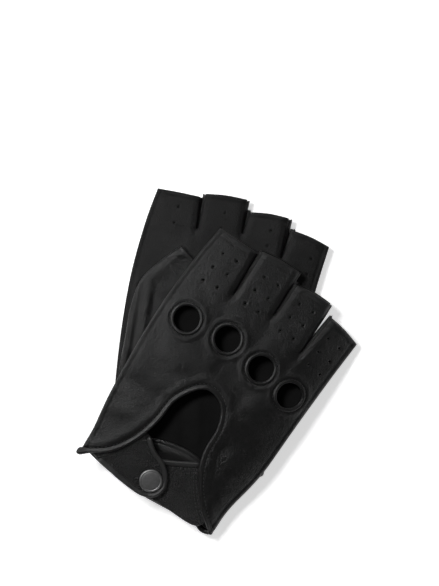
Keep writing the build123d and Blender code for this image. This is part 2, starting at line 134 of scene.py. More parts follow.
def origin(side):
    """Where the hand frame's origin lies, from the press fastener's socket in the frame."""
    low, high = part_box(f"{side}_snap_socket")
    x, y, z = SOCKET_MIDDLE
    return (low + high) / 2 - rotation(side) @ Vector((x, y, z * flip(side))) * MM


def to_world(side, points):
    """Points of the hand frame, in millimetres, as points of the row frame, in metres."""
    pts = np.array(points, float).reshape(-1, 3) * np.array([1, 1, flip(side)])
    if side == "left":      # the wrist corner is tucked in under the glove on top
        corner = smooth((-46 - pts[:, 1]) / 16) * smooth((-22 - pts[:, 0]) / 18)
        pts[:, 0] += 4.0 * corner
    return pts @ np.array(rotation(side)).T * MM + np.array(origin(side))


def sag(side, x, y):
    if side == "left":
        return np.zeros_like(x)
    return -DROOP_Y * np.maximum(0, y - LEVEL_FROM_Y) ** 2 - DROOP_X * np.maximum(0, x - EDGE_FROM_X) ** 2


# ---------------------------------------------------------------- curves in the plan

def spline(points, step=EDGE_STEP, closed=False):
    """A smooth line through points, sampled about every step."""
    p = np.array(points, float)
    if closed:
        p = np.vstack([p[-1], p, p[0], p[1]])
    else:
        p = np.vstack([2 * p[0] - p[1], p, 2 * p[-1] - p[-2]])
    out = []
    for a, b, c, d in zip(p[:-3], p[1:-2], p[2:-1], p[3:]):
        count = max(2, int(np.linalg.norm(c - b) / step))
        gaps = [max(1e-6, np.linalg.norm(v - u)) ** 0.5 for u, v in ((a, b), (b, c), (c, d))]
        knots = np.cumsum([0] + gaps)
        for t in np.linspace(knots[1], knots[2], count, endpoint=False):
            def mix(i, j, u, v):
                return (knots[j] - t) / (knots[j] - knots[i]) * u + (t - knots[i]) / (knots[j] - knots[i]) * v
            middle = mix(1, 2, b, c)
            out.append(mix(1, 2, mix(0, 2, mix(0, 1, a, b), middle), mix(1, 3, middle, mix(2, 3, c, d))))
    if not closed:
        out.append(p[-2])
    return np.array(out)


def circle(centre, radius, count):
    a = np.linspace(0, 2 * math.pi, count, endpoint=False)
    return np.stack([centre[0] + radius * np.cos(a), centre[1] + radius * np.sin(a)], 1)


def straight(a, b, step=EDGE_STEP):
    count = max(2, int(math.dist(a, b) / step))
    return np.array([np.array(a) + (np.array(b) - np.array(a)) * t for t in np.linspace(0, 1, count)])


def chain(*lines):
    """Lines joined end to end into one closed outline, without repeated points."""
    pts = np.vstack(lines)
    keep = [pts[0]]
    for p in pts[1:]:
        if np.linalg.norm(p - keep[-1]) > 0.05:
            keep.append(p)
    if np.linalg.norm(keep[0] - keep[-1]) < 0.05:
        keep.pop()
    return np.array(keep)


def distance(points, line, closed=False):
    """Distance in the plan from each point to a polyline."""
    a = np.array(line, float)
    b = np.roll(a, -1, axis=0) if closed else a[1:]
    a = a if closed else a[:-1]
    d = b - a
    out = []
    for part in np.array_split(np.array(points, float)[:, None, :2], max(1, len(points) // 1500)):
        t = np.clip(((part - a) * d).sum(2) / np.maximum((d * d).sum(1), 1e-12), 0, 1)
        out.append(np.sqrt((((a + t[..., None] * d) - part) ** 2).sum(2)).min(1))
    return np.concatenate(out)


def inside(points, loops):
    """Whether each point is inside an odd number of the closed loops."""
    p = np.array(points, float)
    odd = np.zeros(len(p), bool)
    for loop in loops:
        a = np.array(loop, float)
        b = np.roll(a, -1, axis=0)
        for (x1, y1), (x2, y2) in zip(a, b):
            if y1 == y2:
                continue
            crosses = ((y1 > p[:, 1]) != (y2 > p[:, 1]))
            odd ^= crosses & (p[:, 0] < (x2 - x1) * (p[:, 1] - y1) / (y2 - y1) + x1)
    return odd


def slit_line(index):
    """Edge of one slit: down one side, round its bottom, up the other."""
    x, y = SLIT_ENDS[index]
    left = TIPS[index][-1]
    right = TIPS[index + 1][0]
    down = straight(left, (x - SLIT_HALF, y + 1))
    bottom = np.array([(x - 0.5, y + 0.2), (x, y), (x + 0.5, y + 0.2)])
    return np.vstack([down, bottom, straight((x + SLIT_HALF, y + 1), right)])


def finger_lines():
    lines = []
    for index, tip in enumerate(TIPS):
        lines.append(spline(tip))
        if index < 3:
            lines.append(slit_line(index))
    return lines


# ---------------------------------------------------------------- heights

def smooth(t):
    t = np.clip(t, 0, 1)
    return t * t * (3 - 2 * t)


def round_over(t):
    """0 at an edge, rising like a quarter circle to 1."""
    t = np.clip(t, 0, 1)
    return np.sqrt(np.maximum(0, 1 - (1 - t) ** 2))


def bump(d, centre, width):
    return np.exp(-((d - centre) / width) ** 2)


def crown(x, y):
    left = np.interp(y, SECTIONS[:, 0], SECTIONS[:, 1])
    right = np.interp(y, SECTIONS[:, 0], SECTIONS[:, 2])
    s = np.clip(np.abs((x - (left + right) / 2) / ((right - left) / 2)), 0, 1)
    return 1 - s ** 3


def wander(points, scale, seed):
    """Smooth noise in the plan, about -1 to 1."""
    return np.array([noise.noise(Vector((x / scale, y / scale, seed))) for x, y in points[:, :2]])


def near(points, a, b, width, strength):
    """A soft ridge (or valley) along the segment from a to b."""
    d = distance(points, [a, b])
    return strength * np.exp(-(d / width) ** 2)


def folded(points, folds):
    return sum(near(points, *fold) for fold in folds)


class Hand:
    """Plan lines and heights shared by one glove's pieces."""

    def __init__(self, side):
        self.side = side
        self.thumb_side = spline(THUMB_SIDE)
        self.little_side = spline(LITTLE_SIDE)
        self.keyhole = spline(KEYHOLE)
        self.hem = spline(WRIST_HEM)
        self.back_slits = [slit_line(i) for i in range(3)]
        self.palm_slits = [palm_slit(i) for i in range(3)]

    def fullness(self, pts, lines):
        """1 over the hand, falling at the sewn sides and at the slits, and the distances to both."""
        sides = np.minimum(distance(pts, self.thumb_side), distance(pts, self.little_side))
        slits = np.min([distance(pts, line) for line in lines], axis=0)
        rolled = 0.55 + 0.45 * round_over(slits / 4.5)
        full = crown(pts[:, 0], pts[:, 1]) ** 0.8 * (0.55 + 0.45 * round_over(sides / 5)) * rolled
        return full, sides, slits

    def back(self, pts):
        """Outer face of the back leather."""
        x, y = pts[:, 0], pts[:, 1]
        full, sides, slits = self.fullness(pts, self.back_slits)
        z = RIM + (BACK_RISE - RIM) * full
        for centre in KNUCKLES:
            r = np.hypot(x - centre[0], y - centre[1])
            z += 0.55 * bump(r, 12.2, 1.7) - 0.35 * bump(r, 10.4, 0.6)
        key = distance(pts, self.keyhole)
        z += 0.55 * bump(key, 5.5, 2.4) - 0.4 * bump(key, 2.3, 0.5) + 0.28 * bump(key, 3.4, 0.6)
        z += 0.35 * bump(sides, 1.1, 0.8) - 0.35 * bump(sides, 2.5, 0.6)
        z -= 0.35 * bump(slits, 1.9, 0.6)
        for x0, y0 in SLIT_ENDS:
            z += near(pts, (x0, y0 - 1), (x0 - 0.3, y0 - 4), 1.8, -0.5)
        z += folded(pts, BACK_FOLDS)
        z += 0.6 * wander(pts, 24, 3.1) + 0.28 * wander(pts, 9, 7.7) + 0.07 * wander(pts, 3.2, 1.3)
        return z + sag(self.side, x, y)

    def palm(self, pts):
        """Outer face of the palm leather."""
        x, y = pts[:, 0], pts[:, 1]
        depth = np.interp(y, SECTIONS[:, 0], SECTIONS[:, 3])
        full, sides, slits = self.fullness(pts, self.palm_slits)
        z = RIM + (depth - RIM) * full
        z += 0.35 * bump(sides, 1.1, 0.8) - 0.45 * bump(sides, 2.4, 0.6)
        z -= 0.3 * bump(slits, 1.9, 0.6)
        for x0, y0 in SLIT_ENDS:
            z += near(pts, (x0, y0 + 8), (x0, y0 + 4), 1.8, -0.4)
        z += folded(pts, PALM_FOLDS)
        z += 0.5 * wander(pts, 18, 11.3) + 0.18 * wander(pts, 7, 5.2) + 0.05 * wander(pts, 3.0, 2.3)
        return sag(self.side, x, y) - z

    def back_at(self, pts, lift=0.0):
        """Points of a plan line laid on the back, raised by lift."""
        pts = np.array(pts, float)
        return np.column_stack([pts[:, :2], self.back(pts) + lift])

    def palm_at(self, pts, lift=0.0):
        pts = np.array(pts, float)
        return np.column_stack([pts[:, :2], self.palm(pts) - lift])


# ---------------------------------------------------------------- meshes

def make_object(name, verts, faces, side):
    """An object from hand-frame points; the left glove's faces are turned to match its mirror."""
    mesh = bpy.data.meshes.new(name)
    world = to_world(side, verts)
    if side == "left":
        faces = [tuple(reversed(f)) for f in faces]
    mesh.from_pydata([tuple(v) for v in world], [], [tuple(int(i) for i in f) for f in faces])
    mesh.validate()
    mesh.update()
    for polygon in mesh.polygons:
        polygon.use_smooth = True
    obj = bpy.data.objects.new(name, mesh)
    bpy.context.scene.collection.objects.link(obj)
    return obj


def triangulate(outline, holes, spacing=GRID):
    """Points and triangles that fill an outline around its holes."""
    loops = [outline] + holes
    coords = []
    edges = []
    for loop in loops:
        start = len(coords)
        coords += [Vector(p) for p in loop]
        edges += [(start + i, start + (i + 1) % len(loop)) for i in range(len(loop))]
    low = outline.min(0)
    high = outline.max(0)
    rows = np.arange(low[1], high[1], spacing * 0.87)
    grid = []
    for index, y in enumerate(rows):
        shift = spacing / 2 if index % 2 else 0
        grid += [(x + shift, y) for x in np.arange(low[0], high[0], spacing)]
    grid = np.array(grid)
    grid = grid[inside(grid, loops)]
    clear = np.min([distance(grid, loop, True) for loop in loops], axis=0)
    grid = grid[clear > spacing * 0.45]
    coords += [Vector(p) for p in grid]
    points, _, triangles = geometry.delaunay_2d_cdt(coords, edges, [], 0, 1e-5, False)[:3]
    points = np.array([tuple(p) for p in points])
    triangles = np.array([t for t in triangles if len(t) == 3])
    centres = points[triangles].mean(1)
    return points, triangles[inside(centres, loops)]


def rim_edges(triangles):
    """Directed edges that belong to one triangle only."""
    seen = {}
    for a, b, c in triangles:
        for edge in ((a, b), (b, c), (c, a)):
            seen[edge] = True
    return [(a, b) for a, b in seen if (b, a) not in seen]


def shell(name, side, outline, holes, outer, inner, vents=None, vent_r=VENT_R, roll=0.3):
    """A leather panel with real thickness and a rounded cut edge; vents are small clean punched holes."""
    two_sided = vents is not None
    vents = vents or []
    holes = holes + [circle(v, vent_r, 8) for v in vents]
    points, triangles = triangulate(outline, holes)
    top = outer(points)
    bottom = inner(points)
    count = len(points)
    edges = rim_edges(triangles)
    push = np.zeros((count, 2))
    for a, b in edges:
        d = points[b] - points[a]
        normal = np.array([d[1], -d[0]]) / max(1e-9, np.hypot(*d))
        push[a] += normal
        push[b] += normal
    length = np.hypot(push[:, 0], push[:, 1])
    push = push / np.maximum(length, 1e-9)[:, None] * roll
    for vent in vents:
        push[np.hypot(*(points - np.array(vent)).T) < vent_r * 1.5] *= 0.1
    rim = sorted({a for a, _ in edges} | {b for _, b in edges})
    rim_index = {v: 2 * count + i for i, v in enumerate(rim)}
    middle = np.array([(*(points[v] + push[v]), (top[v] + bottom[v]) / 2) for v in rim])
    verts = np.vstack([np.column_stack([points, top]), np.column_stack([points, bottom]), middle])
    upward = top.mean() > bottom.mean()
    faces = []
    for a, b, c in triangles:
        faces.append((a, b, c) if upward else (c, b, a))
        faces.append((c + count, b + count, a + count) if upward else (a + count, b + count, c + count))
    for a, b in edges:
        ma, mb = rim_index[a], rim_index[b]
        upper = (b, a, ma, mb)
        lower = (mb, ma, a + count, b + count)
        faces.append(upper if upward else upper[::-1])
        faces.append(lower if upward else lower[::-1])
    obj = make_object(name, verts, faces, side)
    if two_sided:      # the flesh side is raw suede
        for index in range(1, 2 * len(triangles), 2):
            obj.data.polygons[index].material_index = 1
    return obj


def frames(p, closed):
    """Sideways and upward directions along a path."""
    if closed:
        tangent = np.roll(p, -1, axis=0) - np.roll(p, 1, axis=0)
    else:
        tangent = np.gradient(p, axis=0)
    tangent /= np.maximum(np.linalg.norm(tangent, axis=1), 1e-9)[:, None]
    sideways = np.cross(tangent, (0, 0, 1))
    sideways /= np.maximum(np.linalg.norm(sideways, axis=1), 1e-9)[:, None]
    return sideways, np.cross(sideways, tangent)


def sweep(name, side, path, profile, closed=False, scale=None):
    """A closed profile of (sideways, upward) points carried along a path."""
    path = np.array(path, float)
    sideways, upward = frames(path, closed)
    profile = np.array(profile, float)
    n, m = len(path), len(profile)
    scale = np.ones(n) if scale is None else np.array(scale)
    verts = (path[:, None] + sideways[:, None] * profile[None, :, :1] * scale[:, None, None]
             + upward[:, None] * profile[None, :, 1:] * scale[:, None, None]).reshape(-1, 3)
    faces = []
    for i in range(n if closed else n - 1):
        j = (i + 1) % n
        for k in range(m):
            q = (k + 1) % m
            faces.append((i * m + k, j * m + k, j * m + q, i * m + q))
    if not closed:
        faces.append(tuple(range(m)))
        faces.append(tuple(reversed(range((n - 1) * m, n * m))))
    return make_object(name, verts, faces, side)


def oval(width, height, lift=0.0, count=14, sink=1.0):
    """Rounded profile: width across, height above and sink times height below."""
    a = np.linspace(0, 2 * math.pi, count, endpoint=False)
    z = np.sin(a)
    return np.column_stack([np.cos(a) * width / 2, np.where(z > 0, z, z * sink) * height + lift])


def piping(width, height, depth):
    """Folded binding: a full roll at its inner edge, and a flat stitched wing beside it."""
    below = [(0.56, -0.4), (0.44, -1), (-0.52, -1), (-0.60, -0.3)]
    above = [(-0.58, 0.35), (-0.42, 0.82), (-0.16, 1), (0.08, 0.82), (0.2, 0.45), (0.3, 0.36), (0.46, 0.4),
             (0.56, 0.16)]
    return [(x * width, z * depth) for x, z in below] + [(x * width, z * height) for x, z in above]


def along(path, spacing, start=0.0, closed=False):
    """Evenly spaced points on a path, with their directions."""
    p = np.array(path, float)
    if closed:
        p = np.vstack([p, p[0]])
    steps = np.linalg.norm(np.diff(p, axis=0), axis=1)
    where = np.concatenate([[0], np.cumsum(steps)])
    places = np.arange(start, where[-1] - 0.2, spacing)
    points = np.column_stack([np.interp(places, where, p[:, k]) for k in range(p.shape[1])])
    ahead = np.column_stack([np.interp(places + 0.3, where, p[:, k]) for k in range(p.shape[1])])
    return points, ahead - points


def stitches(name, side, path, spacing=2.7, length=1.9, radius=0.24, lift=0.05, closed=False):
    """Thread: one short rounded stitch after another, dipping into the leather at its ends."""
    points, directions = along(path, spacing, 0.8, closed)
    verts, faces = [], []
    rings, sides = 6, 6
    for p, d in zip(points, directions):
        d = d / max(1e-9, np.linalg.norm(d))
        across = np.cross(d, (0, 0, 1))
        across /= max(1e-9, np.linalg.norm(across))
        above = np.cross(across, d)
        first = len(verts)
        for i in range(rings):
            t = i / (rings - 1) * 2 - 1
            r = radius * math.sqrt(max(0.06, 1 - t ** 4))
            centre = p + d * t * length / 2 + above * (lift - 0.32 * t ** 4)
            for k in range(sides):
                a = 2 * math.pi * k / sides
                verts.append(centre + across * math.cos(a) * r + above * math.sin(a) * r)
        for i in range(rings - 1):
            for k in range(sides):
                q = (k + 1) % sides
                a = first + i * sides
                faces.append((a + k, a + k + sides, a + q + sides, a + q))
        faces.append(tuple(first + k for k in range(sides)))
        faces.append(tuple(first + (rings - 1) * sides + k for k in reversed(range(sides))))
    return make_object(name, side=side, verts=verts, faces=faces)


def lathe(name, side, centre, profile, count=64):
    """A turned piece about the fastener's axis, from (radius, height) points."""
    verts, faces = [], []
    for r, z in profile:
        for k in range(count):
            a = 2 * math.pi * k / count
            verts.append((centre[0] + r * math.cos(a), centre[1] + r * math.sin(a), z))
    for i in range(len(profile) - 1):
        for k in range(count):
            q = (k + 1) % count
            a = i * count
            faces.append((a + k, a + q, a + q + count, a + k + count))
    faces.append(tuple(reversed(range(count))))
    faces.append(tuple((len(profile) - 1) * count + k for k in range(count)))
    return make_object(name, verts, faces, side)


# ---------------------------------------------------------------- materials

def nodes_of(name):
    material = bpy.data.materials.new(name)
    material.use_nodes = True
    tree = material.node_tree
    return material, tree, tree.nodes["Principled BSDF"]


def add(tree, kind, inputs=None, **settings):
    node = tree.nodes.new(kind)
    for key, value in settings.items():
        setattr(node, key, value)
    for key, value in (inputs or {}).items():
        if isinstance(value, bpy.types.NodeSocket):
            tree.links.new(value, node.inputs[key])
        else:
            node.inputs[key].default_value = value
    return node


def cloud(tree, place, scale, detail, roughness=0.5):
    return add(tree, "ShaderNodeTexNoise",
               {"Vector": place, "Scale": scale, "Detail": detail, "Roughness": roughness})


def bumps(tree, shader, height, strength, depth):
    bumped = add(tree, "ShaderNodeBump", {"Height": height, "Strength": strength, "Distance": depth})
    tree.links.new(bumped.outputs["Normal"], shader.inputs["Normal"])


def ramp(tree, source, *stops):
    node = add(tree, "ShaderNodeValToRGB", {"Fac": source})
    band = node.color_ramp
    while len(band.elements) < len(stops):
        band.elements.new(0.5)
    for element, (position, value) in zip(band.elements, stops):
        element.position = position
        element.color = (*value, 1) if isinstance(value, tuple) else (value, value, value, 1)
    return node.outputs["Color"]


def leather(name, cell, depth, dark, light, rough, specular=0.5):
    """Grained hide: cells with soft tops, finer pores, and slow changes of colour and polish; the colour is
    lighter on the cell tops, as wear, and darker in the crevices between them, as painted shade.
    """
    material, tree, shader = nodes_of(name)
    place = add(tree, "ShaderNodeTexCoord").outputs["Object"]
    warp = cloud(tree, place, 0.35 / cell, 2.0)
    bent = add(tree, "ShaderNodeVectorMath", {0: warp.outputs["Color"], 1: (cell * 1.4,) * 3, 2: place},
               operation="MULTIPLY_ADD")
    vector = bent.outputs["Vector"]
    cells = add(tree, "ShaderNodeTexVoronoi", {"Vector": vector, "Scale": 1 / cell}, feature="SMOOTH_F1")
    pores = add(tree, "ShaderNodeTexVoronoi", {"Vector": place, "Scale": 2.6 / cell}, feature="F1")
    fine = cloud(tree, place, 4 / cell, 3.0, 0.6)
    slow = cloud(tree, place, 38.0, 3.0, 0.55)
    tops = ramp(tree, cells.outputs["Distance"], (0.0, 1.0), (0.55, 0.75), (0.95, 0.0))
    grain = add(tree, "ShaderNodeMath", {0: tops, 1: pores.outputs["Distance"]}, operation="SUBTRACT")
    grain = add(tree, "ShaderNodeMath", {0: grain.outputs[0], 1: fine.outputs["Fac"]}, operation="ADD")
    bumps(tree, shader, grain.outputs[0], 1.0, depth)
    # colour: slow random tone times the cell tops, so the tops come out lighter (wear) and the crevices darker
    # (painted shade)
    tone_and_crevice_shade = add(tree, "ShaderNodeMath", {0: slow.outputs["Fac"], 1: tops}, operation="MULTIPLY")
    colour = ramp(tree, tone_and_crevice_shade.outputs[0], (0.08, dark), (0.62, light))
    tree.links.new(colour, shader.inputs["Base Color"])
    polish = ramp(tree, slow.outputs["Fac"], (0.3, rough + 0.1), (0.7, rough - 0.06))
    tree.links.new(polish, shader.inputs["Roughness"])
    shader.inputs["Specular IOR Level"].default_value = specular
    return material


def fibre(name, scale, depth, dark, light, rough):
    """Raw suede: a short nap with no polish."""
    material, tree, shader = nodes_of(name)
    place = add(tree, "ShaderNodeTexCoord").outputs["Object"]
    nap = cloud(tree, place, scale, 6.0, 0.7)
    slow = cloud(tree, place, 60.0, 2.0)
    both = add(tree, "ShaderNodeMath", {0: nap.outputs["Fac"], 1: slow.outputs["Fac"]}, operation="MULTIPLY")
    tree.links.new(ramp(tree, both.outputs[0], (0.12, dark), (0.42, light)), shader.inputs["Base Color"])
    bumps(tree, shader, nap.outputs["Fac"], 0.8, depth)
    shader.inputs["Roughness"].default_value = rough
    shader.inputs["Specular IOR Level"].default_value = 0.2
    return material


def thread(name, dark, light):
    """Twisted thread, its colour painted lighter than the real black thread as a painted sheen."""
    material, tree, shader = nodes_of(name)
    place = add(tree, "ShaderNodeTexCoord").outputs["Object"]
    twist = add(tree, "ShaderNodeTexWave", {"Vector": place, "Scale": 900.0, "Distortion": 1.0},
                bands_direction="DIAGONAL")
    tree.links.new(ramp(tree, twist.outputs["Fac"], (0.1, dark), (0.9, light)), shader.inputs["Base Color"])
    bumps(tree, shader, twist.outputs["Fac"], 0.5, 0.0001)
    shader.inputs["Roughness"].default_value = 0.45
    shader.inputs["Sheen Weight"].default_value = 0.15
    return material


def metal(name, dark, light, rough, scale):
    """Plated metal with a fine brushed grain, tiny scuffs and slightly uneven tone."""
    material, tree, shader = nodes_of(name)
    place = add(tree, "ShaderNodeTexCoord").outputs["Object"]
    stretch = add(tree, "ShaderNodeMapping", {"Vector": place, "Scale": (scale, scale * 0.12, scale)})
    brush = cloud(tree, stretch.outputs["Vector"], 1.0, 5.0)
    tone = cloud(tree, place, 420.0, 4.0, 0.65)
    tree.links.new(ramp(tree, tone.outputs["Fac"], (0.3, dark), (0.7, light)), shader.inputs["Base Color"])
    polish = ramp(tree, brush.outputs["Fac"], (0.3, rough - 0.06), (0.7, rough + 0.1))
    tree.links.new(polish, shader.inputs["Roughness"])
    bumps(tree, shader, brush.outputs["Fac"], 0.25, 0.00005)
    shader.inputs["Metallic"].default_value = 1.0
    return material


MATERIALS = {
    "smooth": leather("smooth_leather", 0.0013, 0.00017, 0.0011, 0.0042, 0.36, specular=0.4),
    "palm": leather("palm_leather", 0.0012, 0.00017, 0.0016, 0.0052, 0.47, specular=0.26),
    "grained": leather("grained_leather", 0.0022, 0.00065, 0.0012, 0.0055, 0.33, specular=0.5),
    # piping: the same black hide, its colour painted lighter as a painted highlight along the rolls
    "piping": leather("piping_leather_painted_highlight", 0.001, 0.00010, 0.0025, 0.0070, 0.33, specular=0.5),
    # bound edges of strap and tab: the same black hide, its colour painted far lighter as a painted highlight
    # along the edges
    "edge": leather("bound_edge_painted_highlight", 0.001, 0.00008, 0.012, 0.024, 0.40, specular=0.6),
    "suede": fibre("raw_suede", 2600, 0.0002, 0.003, 0.0085, 0.95),
    "lining": leather("facing_leather", 0.0009, 0.00012, 0.0012, 0.004, 0.3),
    # thread: black thread, its colour painted lighter as a painted sheen on the stitches
    "thread": thread("thread", 0.012, 0.036),
    "gunmetal": metal("gunmetal", 0.21, 0.27, 0.46, 2500),
    "nickel": metal("nickel", 0.32, 0.42, 0.3, 3000),
}
HIDES = ("smooth", "palm", "piping", "edge", "suede")
SLOTS = {name: "smooth_leather" if name in HIDES else name for name in MATERIALS}
SLOTS["grained"] = "grained_leather"


def dress(obj, material, *others):
    for name in (material, *others):
        obj.data.materials.append(MATERIALS[name])
    return obj


def outward(obj):
    """All faces turned to face out of a closed piece."""
    work = bmesh.new()
    work.from_mesh(obj.data)
    bmesh.ops.recalc_face_normals(work, faces=work.faces[:])
    work.to_mesh(obj.data)
    work.free()
    return obj


# ---------------------------------------------------------------- the pieces of one glove

def tip_distance(pts):
    return np.min([distance(pts, tip) for tip in TIPS], axis=0)


def hem_roll(pts):
    """The turned hem at the ends of the finger stubs."""
    d = tip_distance(pts)
    return 0.3 * bump(d, 1.2, 0.9) - 0.3 * bump(d, 3.1, 0.6)


def palm_slit(index):
    """The slits are shorter on the palm than on the back."""
    line = slit_line(index)
    y = SLIT_ENDS[index][1]
    top = max(line[0][1], line[-1][1])
    share = (line[:, 1] - y) / (top - y)
    line[:, 1] += PALM_SLIT_RISE * np.clip(1 - share, 0, 1) * np.clip((top - line[:, 1]) / 6, 0, 1)
    return line


def make_back(hand):
    side = hand.side
    holes = [circle(c, KNUCKLE_R + 0.7, 48) for c in KNUCKLES]
    vents = []
    for x, y, lean in BACK_VENTS:
        for column in (-0.5, 0.5):
            for row in (-1, 0, 1):
                vents.append((x + column * VENT_COLUMN + row * 0.4, y + row * VENT_ROW + lean * column * 0.6))
    outline = chain(hand.thumb_side, *finger_lines(), hand.little_side, hand.keyhole[::-1])
    outer = lambda pts: hand.back(pts) + hem_roll(pts)
    obj = shell(f"{side}_back_leather", side, outline, holes, outer, lambda pts: outer(pts) - LEATHER, vents)
    dress(obj, "smooth", "suede")
    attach(obj, f"{side}_glove")
    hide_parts(f"{side}_back_panel", f"{side}_side_seam_thumb", f"{side}_side_seam_little")
    return obj


def make_palm(hand):
    side = hand.side
    holes = [circle(THUMB_HOLE, THUMB_HOLE_R, 40)]
    vents = [(x, y + row) for x, y in PALM_VENTS for row in (-5, 5)]
    lines = []
    for index, tip in enumerate(TIPS):
        lines.append(spline(tip))
        if index < 3:
            lines.append(palm_slit(index))
    outline = chain(hand.thumb_side, *lines, hand.little_side, hand.hem)
    outer = lambda pts: hand.palm(pts) - hem_roll(pts)
    obj = shell(f"{side}_palm_leather", side, outline, holes, outer, lambda pts: outer(pts) + LEATHER, vents,
                PALM_VENT_R)
    dress(obj, "palm", "suede")
    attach(obj, f"{side}_glove")
    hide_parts(f"{side}_palm_panel")
    return obj


def make_fourchette(hand, index):
    """The folded strip between two finger stubs: it joins the back's slit edge to the palm's."""
    side = hand.side
    upper = slit_line(index)
    lower = palm_slit(index)
    centre = np.array(SLIT_ENDS[index])
    rows = 9
    verts = []
    inward = np.sign(centre[0] + (upper[:, 1] - centre[1]) * SLIT_LEAN[index] - upper[:, 0])
    inward[np.hypot(*(upper - centre).T) < 0.9] = 0
    top = hand.back(upper) - 0.45
    low = hand.palm(lower) + 0.45
    for layer in (0.0, 0.6):
        for k in range(rows):
            t = k / (rows - 1)
            x, y = (upper * (1 - t) + lower * t).T
            turn = int(np.argmin(y))
            middle = (np.interp(y, y[turn::-1], x[turn::-1]) + np.interp(y, y[turn:], x[turn:])) / 2
            shut = np.interp(y, [centre[1], 90], [1, SLIT_SHUT[side][index]])
            fold = math.sin(math.pi * t) ** 0.6 * (np.abs(x - middle) * shut + 0.3) - layer - 0.1
            y = y - (inward == 0) * (0.2 + layer) - 0.8 * (upper[:, 1] > 82) * (1 - math.sin(math.pi * t))
            verts.append(np.column_stack([x + inward * fold, y, top * (1 - t) + low * t]))
    n = len(upper)
    faces = []
    at = lambda layer, k, i: (layer * rows + k) * n + i
    for i in range(n - 1):
        for k in range(rows - 1):
            faces.append((at(0, k, i), at(0, k + 1, i), at(0, k + 1, i + 1), at(0, k, i + 1)))
            faces.append((at(1, k, i), at(1, k, i + 1), at(1, k + 1, i + 1), at(1, k + 1, i)))
        for k in (0, rows - 1):
            quad = (at(0, k, i), at(0, k, i + 1), at(1, k, i + 1), at(1, k, i))
            faces.append(quad if k == 0 else quad[::-1])
    for i in (0, n - 1):
        for k in range(rows - 1):
            quad = (at(0, k, i), at(1, k, i), at(1, k + 1, i), at(0, k + 1, i))
            faces.append(quad if i == 0 else quad[::-1])
    obj = outward(make_object(f"{side}_fourchette_{FINGERS[index]}_leather", np.vstack(verts), faces, side))
    dress(obj, "smooth")
    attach(obj, f"{side}_glove")
    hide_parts(f"{side}_fourchette_{FINGERS[index]}")


def make_knuckle_rim(hand, index):
    side, centre = hand.side, KNUCKLES[index]
    ring = circle(centre, KNUCKLE_R + 0.95, 96)
    path = hand.back_at(ring, -0.1)
    wobble = 1 + 0.05 * np.sin(np.linspace(0, 2 * math.pi, 96, endpoint=False) * 3 + index)
    profile = oval(2.3, 0.8, 0.15, 18, 1.9)
    rim = outward(sweep(f"{side}_knuckle_rim_{FINGERS[index]}", side, path, profile, True, wobble))
    dress(rim, "piping")
    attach(rim, f"{side}_glove")
    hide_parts(f"{side}_knuckle_binding_{FINGERS[index]}")
    seam = hand.back_at(circle(centre, KNUCKLE_R + 2.35, 120), 0.06)
    sewn = stitches(f"{side}_knuckle_stitches_{FINGERS[index]}", side, seam, 2.1, 1.5, 0.17, 0.02, True)
    dress(sewn, "thread")
    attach(sewn, f"{side}_glove")


def offset_line(line, distance_out):
    """A plan line moved sideways: positive to the left of its direction."""
    p = np.array(line, float)[:, :2]
    t = np.gradient(p, axis=0)
    t /= np.maximum(np.linalg.norm(t, axis=1), 1e-9)[:, None]
    return p + np.column_stack([-t[:, 1], t[:, 0]]) * distance_out


def ends(count, first, last, low=0.35):
    """Scale that tapers over the first and last few points of a sweep."""
    i = np.arange(count)
    return low + (1 - low) * np.minimum(round_over(i / first), round_over((count - 1 - i) / last))


def make_keyhole_binding(hand):
    """Piped binding round the wrist opening, with a curled tip at its thumb-side end."""
    side = hand.side
    line = offset_line(hand.keyhole, 0.75)
    if side == "right":
        tip = spline([(-46.6, -71.2), (-45.2, -71.0), (-43.6, -69.9), tuple(line[4])], 0.5)
        tail = spline([tuple(line[-3]), (52.6, -66.6), (53.8, -66.2)], 0.5)
    else:
        tip = spline([(-43.6, -68.4), tuple(line[4])], 0.5)
        tail = spline([tuple(line[-4]), (50.6, -63.6)], 0.5)
    flat = np.vstack([tip[:-1], line[4:-4], tail])
    path = hand.back_at(flat)
    left = flat[:, 0] < -40
    path[left, 2] += 0.9 * smooth((-40 - flat[left, 0]) / 6)
    scale = ends(len(flat), 3, 6, 0.5)
    if side == "right":
        scale = scale * (1 + 0.6 * bump(flat[:, 0], -45, 3.5))
    roll = piping(2.6, 1.05, 1.3)
    obj = outward(sweep(f"{side}_keyhole_piping", side, path, [(-x, z) for x, z in roll], False, scale))
    dress(obj, "piping")
    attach(obj, f"{side}_glove")
    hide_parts(f"{side}_keyhole_binding")
    seam = hand.back_at(offset_line(hand.keyhole, 2.85)[6:-8], 0.08)
    sewn = stitches(f"{side}_keyhole_stitches", side, seam, 2.5, 1.8, 0.19, 0.03)
    dress(sewn, "thread")
    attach(sewn, f"{side}_glove")


def make_hem(hand):
    """Bound hem of the palm side of the wrist, and its stitching."""
    side = hand.side
    line = offset_line(hand.hem, 0.2)
    upper = hand.palm(line)
    path = np.column_stack([line, upper + 0.55])
    scale = ends(len(line), 4, 4)
    obj = outward(sweep(f"{side}_wrist_hem", side, path, oval(3.0, 0.95, 0, 16), False, scale))
    dress(obj, "piping")
    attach(obj, f"{side}_glove")
    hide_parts(f"{side}_wrist_binding")
    seam = hand.palm_at(offset_line(hand.hem, -3.2), 0.1)
    sewn = stitches(f"{side}_hem_stitches", side, seam, 2.6, 1.8, 0.2, 0.0)
    dress(sewn, "thread")
    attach(sewn, f"{side}_glove")


